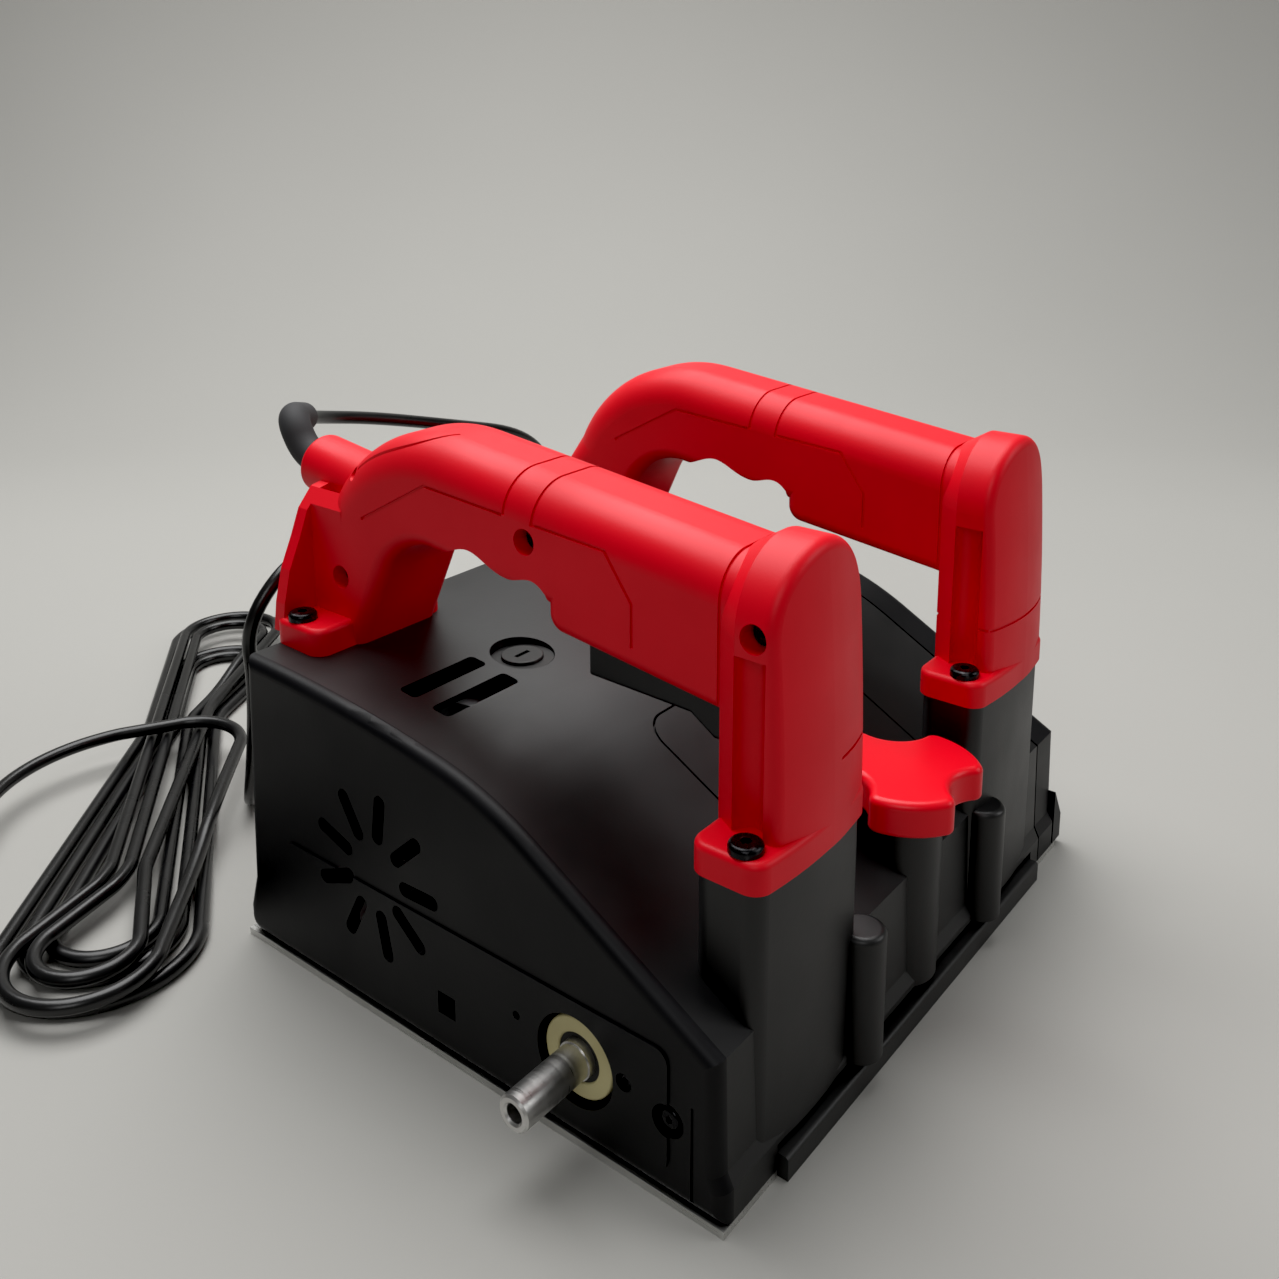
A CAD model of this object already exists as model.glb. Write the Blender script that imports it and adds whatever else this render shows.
import bpy
import math
from mathutils import Matrix, Vector


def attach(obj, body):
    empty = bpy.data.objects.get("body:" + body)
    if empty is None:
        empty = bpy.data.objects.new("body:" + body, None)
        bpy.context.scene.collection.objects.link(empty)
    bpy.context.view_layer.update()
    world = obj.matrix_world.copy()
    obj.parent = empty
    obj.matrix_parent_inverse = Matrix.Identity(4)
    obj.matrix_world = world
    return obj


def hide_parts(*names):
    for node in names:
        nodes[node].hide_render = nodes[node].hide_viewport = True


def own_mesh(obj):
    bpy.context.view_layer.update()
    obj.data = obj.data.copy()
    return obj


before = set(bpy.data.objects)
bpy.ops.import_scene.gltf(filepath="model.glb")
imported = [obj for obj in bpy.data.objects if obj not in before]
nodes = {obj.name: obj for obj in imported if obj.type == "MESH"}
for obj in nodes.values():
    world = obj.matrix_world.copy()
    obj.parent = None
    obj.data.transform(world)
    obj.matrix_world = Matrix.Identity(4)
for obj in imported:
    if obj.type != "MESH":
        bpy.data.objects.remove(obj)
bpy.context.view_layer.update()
bpy.ops.object.select_all(action="DESELECT")

# Camera
# It stands at the left front, a little above the grips, and looks down along the drum's side of the machine.
# Its place and turn are measured from the level edges of the sole and the upright columns.
camera_place = Vector((-0.4247, -0.3163, 0.3513))
camera_yaw = math.radians(38.36)
camera_pitch = math.radians(-11.70)
camera_roll = math.radians(-0.12)
camera_data = bpy.data.cameras.new("camera")
camera_data.sensor_width = 36.0
camera_data.lens = 36.0
camera_data.shift_y = -0.2077
camera = bpy.data.objects.new("camera", camera_data)
bpy.context.scene.collection.objects.link(camera)
level_turn = Matrix.Rotation(camera_yaw - math.pi / 2, 4, "Z")
tilt_turn = Matrix.Rotation(math.pi / 2 + camera_pitch, 4, "X")
roll_turn = Matrix.Rotation(camera_roll, 4, "Z")
camera.matrix_world = Matrix.Translation(camera_place) @ level_turn @ tilt_turn @ roll_turn
bpy.context.scene.camera = camera

# Floor and backdrop
# A sweep of pale grey matt card: a level floor that bends up into a wall behind the machine.
# It is only the stage. Its faint mottle is the card's pressed fibre.
def linear(hex_colour):
    """An sRGB hex colour as linear red, green, blue and alpha."""
    parts = [int(hex_colour[i:i + 2], 16) / 255 for i in (1, 3, 5)]
    return [p / 12.92 if p <= 0.04045 else ((p + 0.055) / 1.055) ** 2.4 for p in parts] + [1.0]


def add_node(material, kind, settings=None, links=None):
    """Adds a node, sets its properties and inputs by name or number, and links its inputs to outputs."""
    node = material.node_tree.nodes.new(kind)
    for key, value in (settings or {}).items():
        if isinstance(key, int) or key in node.inputs:
            node.inputs[key].default_value = value
        else:
            setattr(node, key, value)
    for key, source in (links or {}).items():
        material.node_tree.links.new(source, node.inputs[key])
    return node


def new_material(name):
    """A new material, its principled shader and its object coordinates."""
    material = bpy.data.materials.new(name)
    material.use_nodes = True
    place = add_node(material, "ShaderNodeTexCoord").outputs["Object"]
    return material, material.node_tree.nodes["Principled BSDF"], place


def two_tone(material, mask, one, two):
    """A colour that goes from one hex colour to another as a mask goes from 0 to 1."""
    settings = {"data_type": "RGBA", 6: linear(one), 7: linear(two)}
    return add_node(material, "ShaderNodeMix", settings, {0: mask}).outputs[2]


floor_reach = 7.0
wall_away = 1.3
wall_height = 2.2
wall_bend = 0.55
near = 1e-4
bpy.ops.mesh.primitive_plane_add(size=2 * floor_reach)
floor = bpy.context.object
floor.name = "floor"
bpy.ops.object.mode_set(mode="EDIT")
bpy.ops.mesh.select_all(action="DESELECT")
bpy.ops.object.mode_set(mode="OBJECT")
for vertex in floor.data.vertices:
    vertex.select = vertex.co.y > 0
    if vertex.select:
        vertex.co.y = wall_away
for edge in floor.data.edges:
    edge.select = all(floor.data.vertices[v].select for v in edge.vertices)
bpy.ops.object.mode_set(mode="EDIT")
bpy.ops.mesh.select_mode(type="EDGE")
bpy.ops.mesh.extrude_region_move(TRANSFORM_OT_translate={"value": (0, 0, wall_height)})
bpy.ops.object.mode_set(mode="OBJECT")
for edge in floor.data.edges:
    ends = [floor.data.vertices[v].co for v in edge.vertices]
    edge.select = all(abs(e.y - wall_away) < near and abs(e.z) < near for e in ends)
bpy.ops.object.mode_set(mode="EDIT")
bpy.ops.mesh.bevel(offset=wall_bend, segments=24)
bpy.ops.object.mode_set(mode="OBJECT")
floor.rotation_euler.z = camera_yaw - math.pi / 2
bpy.ops.object.transform_apply(rotation=True)
bpy.ops.object.shade_smooth()
floor.select_set(False)
card, shader, place = new_material("matt_card")
mottle = add_node(card, "ShaderNodeTexNoise", {"Scale": 1 / 0.004, "Detail": 4.0}, {"Vector": place})
drift = add_node(card, "ShaderNodeTexNoise", {"Scale": 1 / 0.5, "Detail": 2.0}, {"Vector": place})
fibre = add_node(
    card,
    "ShaderNodeBump",
    {"Strength": 0.25, "Distance": 0.0002},
    {"Height": mottle.outputs[0]},
)
card.node_tree.links.new(two_tone(card, drift.outputs[0], "#A09F9B", "#A7A6A2"), shader.inputs["Base Color"])
card.node_tree.links.new(fibre.outputs[0], shader.inputs["Normal"])
shader.inputs["Roughness"].default_value = 0.85
floor.data.materials.append(card)

# Light
# One broad soft box overhead and two smaller ones, from the front left and the front right, in a dim room.
# The tones are plain sRGB with the deepest shadows closed to black, as in the photograph.
soft_boxes = (
    ("top_box", (0.2, 0.45, 1.5), (0.0, 0.0, 0.1), 1.5, 38.0),
    ("front_box", (-1.6, -0.9, 1.5), (0.0, 0.0, 0.1), 0.9, 7.0),
    ("right_box", (1.0, -1.6, 1.1), (0.0, 0.0, 0.1), 1.0, 9.0),
)
for name, spot, target, size, power in soft_boxes:
    lamp = bpy.data.lights.new(name, "AREA")
    lamp.shape = "SQUARE"
    lamp.size = size
    lamp.energy = power
    box = bpy.data.objects.new(name, lamp)
    box.location = spot
    box.rotation_euler = (Vector(target) - Vector(spot)).to_track_quat("-Z", "Y").to_euler()
    bpy.context.scene.collection.objects.link(box)
world = bpy.data.worlds.new("room")
world.use_nodes = True
world.node_tree.nodes["Background"].inputs["Color"].default_value = linear("#C8C8C4")
world.node_tree.nodes["Background"].inputs["Strength"].default_value = 0.15
bpy.context.scene.world = world
shadow_close = 0.005
view = bpy.context.scene.view_settings
view.view_transform = "Standard"
view.use_curve_mapping = True
view.curve_mapping.black_level = (shadow_close, shadow_close, shadow_close)
view.curve_mapping.update()

# Sole plate
# A flat plate of ground aluminium that slides on the wall. The grinding leaves fine lines along its travel,
# and its edge is the bright thread of metal at the machine's foot.
noise_band = (0.3, 0.7)


def stretch(material, value, to_low, to_high, band=noise_band):
    """A value's band, by default the one that a noise mostly fills, stretched to another band."""
    settings = {"From Min": band[0], "From Max": band[1], "To Min": to_low, "To Max": to_high}
    return add_node(material, "ShaderNodeMapRange", settings, {"Value": value}).outputs["Result"]


def machined_metal(name, bright, dull, rough, spacing, lay, cut=1.0):
    """Cut or ground metal: tool lines drawn out along one axis, deep or fine, over a faint cloudy dulling."""
    material, shader, place = new_material(name)
    drawn = add_node(material, "ShaderNodeMapping", {"Scale": lay}, {"Vector": place}).outputs[0]
    lines = add_node(material, "ShaderNodeTexNoise", {"Scale": 1 / spacing, "Detail": 3.0}, {"Vector": drawn})
    cloud = add_node(material, "ShaderNodeTexNoise", {"Scale": 1 / 0.03, "Detail": 4.0}, {"Vector": place})
    haze = stretch(material, cloud.outputs[0], 0.0, 1.0)
    gloss = stretch(material, lines.outputs[0], rough - 0.07, rough + 0.09)
    bump = add_node(
        material,
        "ShaderNodeBump",
        {"Strength": 0.35 * cut, "Distance": spacing / 12},
        {"Height": lines.outputs[0]},
    )
    material.node_tree.links.new(two_tone(material, haze, bright, dull), shader.inputs["Base Color"])
    material.node_tree.links.new(gloss, shader.inputs["Roughness"])
    material.node_tree.links.new(bump.outputs[0], shader.inputs["Normal"])
    shader.inputs["Metallic"].default_value = 1.0
    return material


def dress(material, *names):
    """Puts a material on CAD nodes."""
    for name in names:
        for slot in nodes[name].material_slots:
            slot.material = material


ground_aluminium = machined_metal("ground_aluminium", "#DCDCDA", "#BEBEBC", 0.3, 0.0012, (1.0, 0.03, 1.0))
dress(ground_aluminium, "sole_plate")

# Bearing plates and motor housing
# Sand-cast aluminium, machined only where the bearings sit. The skin is pebbled and a little grey.
cast_aluminium, shader, place = new_material("cast_aluminium")
pebble = add_node(cast_aluminium, "ShaderNodeTexVoronoi", {"Scale": 1 / 0.0014}, {"Vector": place})
patch = add_node(cast_aluminium, "ShaderNodeTexNoise", {"Scale": 1 / 0.02, "Detail": 5.0}, {"Vector": place})
skin = add_node(
    cast_aluminium,
    "ShaderNodeBump",
    {"Strength": 0.5, "Distance": 0.00012},
    {"Height": pebble.outputs[0]},
)
cast_tone = two_tone(cast_aluminium, patch.outputs[0], "#8E9092", "#B4B6B8")
cast_aluminium.node_tree.links.new(cast_tone, shader.inputs["Base Color"])
cast_gloss = stretch(cast_aluminium, patch.outputs[0], 0.42, 0.6)
cast_aluminium.node_tree.links.new(cast_gloss, shader.inputs["Roughness"])
cast_aluminium.node_tree.links.new(skin.outputs[0], shader.inputs["Normal"])
shader.inputs["Metallic"].default_value = 1.0
dress(cast_aluminium, "left_bearing_plate", "right_bearing_plate", "motor_housing")

# Drum and its teeth
# The drum is a turned aluminium tube, with fine tool rings round it. Its teeth are sintered carbide, darker,
# sharp at the edge and a little stained where they were brazed in.
turned_aluminium = machined_metal("turned_aluminium", "#B9BABB", "#96989A", 0.34, 0.0011, (1.0, 0.04, 0.04))
dress(turned_aluminium, "drum_body", "drum_pulley", "motor_pulley")
sintered_carbide = machined_metal("sintered_carbide", "#77777A", "#55524C", 0.42, 0.0008, (1.0, 1.0, 1.0))
dress(sintered_carbide, "cutter_teeth")

# Drum shaft, bearings, pins and screw
# Turned and ground steel. The shaft's free end shows bright streaks along its side and faint rings round it.
turned_steel = machined_metal("turned_steel", "#DAD9D7", "#B8B7B4", 0.34, 0.0009, (1.0, 0.05, 0.05), 0.4)
dress(turned_steel, "drum_shaft", "motor_shaft", "trigger_pin")
ground_steel = machined_metal("ground_steel", "#BDBDBE", "#9FA0A2", 0.26, 0.0008, (0.05, 1.0, 1.0))
dress(ground_steel, "drum_bearings", "motor_bearings")
plated_steel = machined_metal("plated_steel", "#C2BFB6", "#A7A292", 0.3, 0.0008, (0.06, 0.06, 1.0))
dress(plated_steel, "depth_screw", "guide_pins")

# Springs
# Drawn spring steel, wound cold. The wire is smooth with short draw marks and a greyish oil film. Each spring
# shortens towards its upper end, as the bar rises under it or the trigger swings up on its pin.
drawn_steel = machined_metal("drawn_steel", "#A3A4A6", "#7C7D80", 0.33, 0.0006, (1.0, 1.0, 0.2))
skin_gap = 1e-6
wire_edge = math.radians(40)


def live_spring(name):
    """A copy of a CAD spring, in one skin, that loses a rise from its length as a joint moves."""
    spring = bpy.data.objects.new(name + "_wire", nodes[name].data.copy())
    bpy.context.scene.collection.objects.link(spring)
    spring.select_set(True)
    bpy.context.view_layer.objects.active = spring
    bpy.ops.object.mode_set(mode="EDIT")
    bpy.ops.mesh.select_all(action="SELECT")
    bpy.ops.mesh.remove_doubles(threshold=skin_gap)
    bpy.ops.object.mode_set(mode="OBJECT")
    bpy.ops.object.shade_smooth_by_angle(angle=wire_edge)
    spring.select_set(False)
    spring.data.materials.clear()
    spring.data.materials.append(drawn_steel)
    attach(spring, "casing")
    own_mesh(spring)
    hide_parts(name)


live_spring("guide_springs")
live_spring("trigger_spring")

# Shaft seal
# The pale ring round the shaft is moulded nylon, unevenly yellowed, with a dull skin.
def moulded_plastic(name, body, drift_to, rough, grain, depth, shine=0.5):
    """Moulded plastic or rubber: grain from the mould, faintly clouded colour and uneven gloss and shine."""
    material, shader, place = new_material(name)
    cloud = add_node(material, "ShaderNodeTexNoise", {"Scale": 1 / 0.045, "Detail": 4.0}, {"Vector": place})
    fine = add_node(material, "ShaderNodeTexNoise", {"Scale": 1 / grain, "Detail": 2.0}, {"Vector": place})
    bump = add_node(
        material,
        "ShaderNodeBump",
        {"Strength": 0.6, "Distance": depth},
        {"Height": fine.outputs[0]},
    )
    mask = stretch(material, cloud.outputs[0], 0.0, 1.0)
    gloss = stretch(material, cloud.outputs[0], rough - 0.05, rough + 0.06)
    material.node_tree.links.new(two_tone(material, mask, body, drift_to), shader.inputs["Base Color"])
    material.node_tree.links.new(gloss, shader.inputs["Roughness"])
    material.node_tree.links.new(bump.outputs[0], shader.inputs["Normal"])
    shader.inputs["Specular IOR Level"].default_value = shine
    return material


seal_nylon = moulded_plastic("seal_nylon", "#CDC391", "#BDB17C", 0.5, 0.0012, 0.00004)
dress(seal_nylon, "shaft_seal")

# Dust ring
# A black nitrile lip inside the seal, dull and slightly greasy.
nitrile_rubber = moulded_plastic("nitrile_rubber", "#0C0C0D", "#151516", 0.62, 0.001, 0.00004)
dress(nitrile_rubber, "dust_ring")

# Stator and armature cores
# Stacks of thin electrical sheet, varnished. The edges of the sheets show as lines half a millimetre apart,
# drawn at twice that here so that they can be seen. At a scale of 1, a wave pattern repeats every 0.314.
sheet_iron, shader, place = new_material("stacked_sheet_iron")
sheet_pitch = 0.001
wave_period = 0.314
sheets = add_node(
    sheet_iron,
    "ShaderNodeTexWave",
    {"bands_direction": "X", "Scale": wave_period / sheet_pitch, "Distortion": 0.4},
    {"Vector": place},
)
varnish = add_node(sheet_iron, "ShaderNodeTexNoise", {"Scale": 1 / 0.01, "Detail": 3.0}, {"Vector": place})
sheet_bump = add_node(
    sheet_iron,
    "ShaderNodeBump",
    {"Strength": 0.5, "Distance": 0.0001},
    {"Height": sheets.outputs["Fac"]},
)
sheet_tone = two_tone(sheet_iron, sheets.outputs["Fac"], "#3A3838", "#6C6A69")
sheet_iron.node_tree.links.new(sheet_tone, shader.inputs["Base Color"])
sheet_gloss = stretch(sheet_iron, varnish.outputs[0], 0.35, 0.55)
sheet_iron.node_tree.links.new(sheet_gloss, shader.inputs["Roughness"])
sheet_iron.node_tree.links.new(sheet_bump.outputs[0], shader.inputs["Normal"])
shader.inputs["Metallic"].default_value = 0.8
dress(sheet_iron, "stator_core", "armature_core")

# Windings and commutator
# Enamelled copper wire wound in layers, under a coat of brown varnish. The commutator is bare copper bars,
# polished by its brushes.
wound_copper, shader, place = new_material("enamelled_copper_wire")
wire_pitch = 0.0016
wires = add_node(
    wound_copper,
    "ShaderNodeTexWave",
    {"bands_direction": "DIAGONAL", "Scale": wave_period / wire_pitch, "Distortion": 1.2},
    {"Vector": place},
)
wire_bump = add_node(
    wound_copper,
    "ShaderNodeBump",
    {"Strength": 0.8, "Distance": 0.0004},
    {"Height": wires.outputs["Fac"]},
)
wire_tone = two_tone(wound_copper, wires.outputs["Fac"], "#5A2610", "#B5642F")
wound_copper.node_tree.links.new(wire_tone, shader.inputs["Base Color"])
wire_gloss = stretch(wound_copper, wires.outputs["Fac"], 0.45, 0.25, (0.0, 1.0))
wound_copper.node_tree.links.new(wire_gloss, shader.inputs["Roughness"])
wound_copper.node_tree.links.new(wire_bump.outputs[0], shader.inputs["Normal"])
shader.inputs["Metallic"].default_value = 0.75
dress(wound_copper, "field_coils", "armature_windings")
bare_copper = machined_metal("polished_copper", "#C98452", "#9E5C34", 0.25, 0.0008, (1.0, 0.05, 0.05))
dress(bare_copper, "commutator")

# Brush gear
# Drawn brass holders, brushes of pressed graphite with a dull sooty skin, and caps of black phenolic resin.
drawn_brass = machined_metal("drawn_brass", "#C9A352", "#A7833A", 0.3, 0.0008, (1.0, 1.0, 0.05))
dress(drawn_brass, "brush_holders")
pressed_graphite = moulded_plastic("pressed_graphite", "#1E1E20", "#2B2B2D", 0.7, 0.0007, 0.00006)
dress(pressed_graphite, "carbon_brushes")
phenolic_resin = moulded_plastic("phenolic_resin", "#131314", "#1B1A1A", 0.4, 0.0012, 0.00003)
dress(phenolic_resin, "brush_caps")

# Cooling fan and switch
# Injection-moulded nylon, dark grey and dull, with glass fibre that clouds its surface.
filled_nylon = moulded_plastic("filled_nylon", "#26272A", "#35363A", 0.55, 0.0016, 0.00005)
dress(filled_nylon, "cooling_fan", "switch_body")

# Drive belt
# A flat rubber belt with a woven back. The weave's diagonal shows as fine ribs through the dusty surface.
woven_belt, shader, place = new_material("woven_rubber_belt")
rib_pitch = 0.0014
ribs = add_node(
    woven_belt,
    "ShaderNodeTexWave",
    {"bands_direction": "DIAGONAL", "Scale": wave_period / rib_pitch, "Distortion": 0.3},
    {"Vector": place},
)
dust = add_node(woven_belt, "ShaderNodeTexNoise", {"Scale": 1 / 0.012, "Detail": 5.0}, {"Vector": place})
rib_bump = add_node(
    woven_belt,
    "ShaderNodeBump",
    {"Strength": 0.6, "Distance": 0.00015},
    {"Height": ribs.outputs["Fac"]},
)
belt_tone = two_tone(woven_belt, dust.outputs[0], "#0F0F10", "#2A2927")
woven_belt.node_tree.links.new(belt_tone, shader.inputs["Base Color"])
belt_gloss = stretch(woven_belt, dust.outputs[0], 0.6, 0.8)
woven_belt.node_tree.links.new(belt_gloss, shader.inputs["Roughness"])
woven_belt.node_tree.links.new(rib_bump.outputs[0], shader.inputs["Normal"])
dress(woven_belt, "drive_belt")

# Hood and front panel
# Black ABS, moulded with a spark-eroded grain of about 0.4 mm, drawn at three times that so that it shows.
# The roof takes the overhead light as a soft grey sheen, while the walls stay near black.
black_abs = moulded_plastic("grained_black_abs", "#0D0D0E", "#121213", 0.42, 0.0012, 0.00004, 0.5)
dress(black_abs, "hood", "front_panel")

# Side covers
# Separate mouldings of the same black ABS, from a smoother mould, each held by small screws.
smooth_abs = moulded_plastic("smooth_black_abs", "#08080B", "#0C0C0F", 0.46, 0.0016, 0.00003, 0.25)
dress(smooth_abs, "left_side_cover", "right_side_cover")

# Depth bar
# A steel strip along the front edge with a black powder coat: a faint orange peel, dusted grey in places.
powder_coat = moulded_plastic("black_powder_coat", "#121213", "#222222", 0.46, 0.0018, 0.00006)
dress(powder_coat, "depth_bar")

# Handles and depth knob
# Red ABS, moulded in halves with a fine satin grain. The knob comes from a smoother mould and is glossier.
red_abs = moulded_plastic("satin_red_abs", "#E3071F", "#D9061C", 0.44, 0.0012, 0.00004, 0.28)
dress(red_abs, "left_handle_outer", "left_handle_inner", "right_handle_inner", "right_handle_outer")
smooth_red_abs = moulded_plastic("smooth_red_abs", "#E5081F", "#DC071D", 0.36, 0.0016, 0.00003, 0.3)
dress(smooth_red_abs, "depth_knob")

# Trigger
# Black glass-filled nylon, satin, worn a little smooth where the fingers rest.
trigger_nylon = moulded_plastic("trigger_nylon", "#0E0E10", "#17171A", 0.42, 0.0012, 0.00004)
dress(trigger_nylon, "trigger")

# Screws
# Socket screws of black-oxide steel: dark, oily and shiny, with a rub of bare steel round the sockets.
black_oxide, shader, place = new_material("black_oxide_steel")
rub = add_node(black_oxide, "ShaderNodeTexNoise", {"Scale": 1 / 0.003, "Detail": 5.0}, {"Vector": place})
rub_mask = stretch(black_oxide, rub.outputs[0], 0.0, 1.0, (0.55, 0.8))
oxide_tone = two_tone(black_oxide, rub_mask, "#232325", "#5B5B5D")
black_oxide.node_tree.links.new(oxide_tone, shader.inputs["Base Color"])
oxide_gloss = stretch(black_oxide, rub.outputs[0], 0.2, 0.36)
black_oxide.node_tree.links.new(oxide_gloss, shader.inputs["Roughness"])
shader.inputs["Metallic"].default_value = 0.9
dress(black_oxide, "handle_mount_screws", "handle_screws", "cover_screws", "sole_screws")

# Boot
# A dark grey rubber sleeve, moulded with a dull skin, pushed into the collar of the left handle.
boot_rubber = moulded_plastic("boot_rubber", "#242426", "#303032", 0.72, 0.0014, 0.00006)
dress(boot_rubber, "strain_relief")

# Plug
# Black PVC moulded over two round contact pins of nickel-plated brass.
plug_pvc = moulded_plastic("plug_pvc", "#0E0E0F", "#171718", 0.45, 0.0014, 0.00005)
dress(plug_pvc, "plug_body")
plated_brass = machined_metal("nickel_plated_brass", "#D3D1CB", "#B5B2A8", 0.22, 0.0008, (0.05, 0.05, 1.0))
dress(plated_brass, "plug_pins")

# Supply cord
# A two-core lead in a smooth black PVC jacket, pushed into the boot. It crosses behind the grips, comes back
# behind the hood and lies on the floor in a hank of five loops, three below and two on them, drawn in at a
# waist. Each turn of the hank is its centre, its radius (negative to the right) and its layer.
cord_r = 0.0033
cord_z = 0.0035
layer_step = 0.0072
climb_len = 0.070
corner_step = math.radians(15)
hank_turn = math.radians(-133.6)
hank_start = (-0.140, -0.205)
hank_lead = 0.052
boot_lead = 0.026
hank_turns = (
    (-0.3120, -0.2475, 0.0360, 0),
    (-0.1900, -0.3340, -0.0600, 0),
    (0.0100, -0.2500, 0.0410, 0),
    (-0.1900, -0.1765, -0.0600, 0),
    (-0.2660, -0.2447, 0.0280, 0),
    (-0.1900, -0.3265, -0.0600, 0),
    (0.0020, -0.2500, 0.0315, 0),
    (-0.1900, -0.1840, -0.0600, 0),
    (-0.2650, -0.2447, 0.0204, 0),
    (-0.1900, -0.3192, -0.0600, 0),
    (-0.0020, -0.2500, 0.0220, 0),
    (-0.1900, -0.1920, -0.0600, 0),
    (-0.3000, -0.2470, 0.0210, 1),
    (-0.0380, -0.2930, -0.0450, 1),
    (0.0220, -0.2510, 0.0205, 1),
    (-0.0380, -0.1956, -0.0450, 1),
    (-0.1900, -0.1810, -0.0600, 1),
    (-0.3060, -0.2470, 0.0290, 1),
    (-0.0380, -0.3015, -0.0450, 1),
    (0.0285, -0.2510, 0.0305, 1),
    (-0.1350, -0.2430, 0.0290, 2),
    (-0.0880, -0.2560, 0.0710, 2),
)


def on_floor(u, v, z):
    """A point of the hank's own frame, u along the hank and v across it."""
    return Matrix.Rotation(hank_turn, 3, "Z") @ Vector((u, v, z))


def run_between(one, two):
    """Ends of the straight run from one turn to the next, in the hank's own frame."""
    du, dv = two[0] - one[0], two[1] - one[1]
    off = math.atan2(dv, du) - math.acos((one[2] - two[2]) / math.hypot(du, dv))
    across = Vector((math.cos(off), math.sin(off)))
    return Vector(one[:2]) + one[2] * across, Vector(two[:2]) + two[2] * across


def round_turn(turn, start, stop, z):
    """Corners of the outline round a turn, about a step apart, from the end of one run to the next."""
    centre, radius = Vector(turn[:2]), turn[2]
    a0 = math.atan2(*reversed(start - centre))
    a1 = math.atan2(*reversed(stop - centre))
    sweep = (a1 - a0) % math.tau if radius > 0 else -((a0 - a1) % math.tau)
    count = max(2, round(abs(sweep) / corner_step))
    step = sweep / count
    reach = abs(radius) / math.cos(step / 2)
    angles = [a0 + step * (i + 0.5) for i in range(count)]
    return [on_floor(centre.x + reach * math.cos(a), centre.y + reach * math.sin(a), z) for a in angles]


stops = [(*hank_start, 0.0, 0), *hank_turns]
heights = [cord_z + layer_step * stop[3] for stop in stops]
runs = [run_between(one, two) for one, two in zip(stops, stops[1:])]
last_u, last_v, last_r = stops[-1][:3]
last_leave = Vector((last_u, last_v - last_r))
hank_way = (runs[0][1] - runs[0][0]).normalized()
collar_mouth = Vector((-0.0815, 0.135, 0.198))
boot_tip = collar_mouth + Vector((0.0165, 0.035, 0.012))
boot_way = Vector((0.016, 0.013, -0.005)).normalized()
lead_in = runs[0][0] - hank_way * hank_lead
route = [
    boot_tip,
    boot_tip + boot_way * boot_lead,
    Vector((-0.008, 0.189, 0.196)),
    Vector((0.045, 0.187, 0.182)),
    Vector((0.097, 0.186, 0.168)),
    Vector((0.125, 0.190, 0.146)),
    Vector((0.135, 0.198, 0.112)),
    Vector((0.115, 0.206, 0.082)),
    Vector((0.072, 0.208, 0.072)),
    Vector((0.015, 0.202, 0.084)),
    Vector((-0.022, 0.190, 0.108)),
    Vector((-0.044, 0.176, 0.140)),
    Vector((-0.080, 0.164, 0.147)),
    Vector((-0.106, 0.166, 0.121)),
    Vector((-0.098, 0.174, 0.088)),
    Vector((-0.097, 0.180, 0.048)),
    on_floor(*lead_in, cord_z),
]
for i, (start, stop) in enumerate(runs):
    z0, z1 = heights[i], heights[i + 1]
    route.append(on_floor(*start, z0))
    if z1 > z0:
        middle = (start + stop) / 2
        quarter = (stop - start).normalized() * climb_len / 4
        route += [on_floor(*(middle - quarter), z0), on_floor(*(middle + quarter), z1)]
    route.append(on_floor(*stop, z1))
    leave = runs[i + 1][0] if i + 1 < len(runs) else last_leave
    route += round_turn(stops[i + 1], stop, leave, z1)
top_z = heights[-1]
tail_lead = 2.5 * cord_r
tail_in = on_floor(last_u + tail_lead, last_leave.y, top_z)
tail_way = on_floor(1, 0, 0)
plug_z = 0.00705
route += [
    tail_in,
    tail_in + tail_way * 0.020,
    tail_in + tail_way * 0.050 + Vector((0, 0, cord_z - top_z + 0.005)),
    tail_in + tail_way * 0.080 + Vector((0, 0, cord_z - top_z)),
    tail_in + tail_way * 0.108 + Vector((-0.004, 0.003, plug_z - top_z)),
    tail_in + tail_way * 0.130 + Vector((-0.006, 0.005, plug_z - top_z)),
]
cord_data = bpy.data.curves.new("supply_cord", "CURVE")
cord_data.dimensions = "3D"
cord_data.bevel_depth = cord_r
cord_data.bevel_resolution = 5
cord_data.resolution_u = 8
spline = cord_data.splines.new("NURBS")
spline.points.add(len(route) - 1)
for point, spot in zip(spline.points, route):
    point.co = (*spot, 1)
spline.order_u = 3
spline.use_endpoint_u = True
cord = bpy.data.objects.new("supply_cord", cord_data)
bpy.context.scene.collection.objects.link(cord)
cord_pvc = moulded_plastic("cord_pvc", "#09090A", "#121213", 0.27, 0.0022, 0.00005)
cord_data.materials.append(cord_pvc)
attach(cord, "casing")
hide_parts("cord", "cord_hank", "cord_tail")
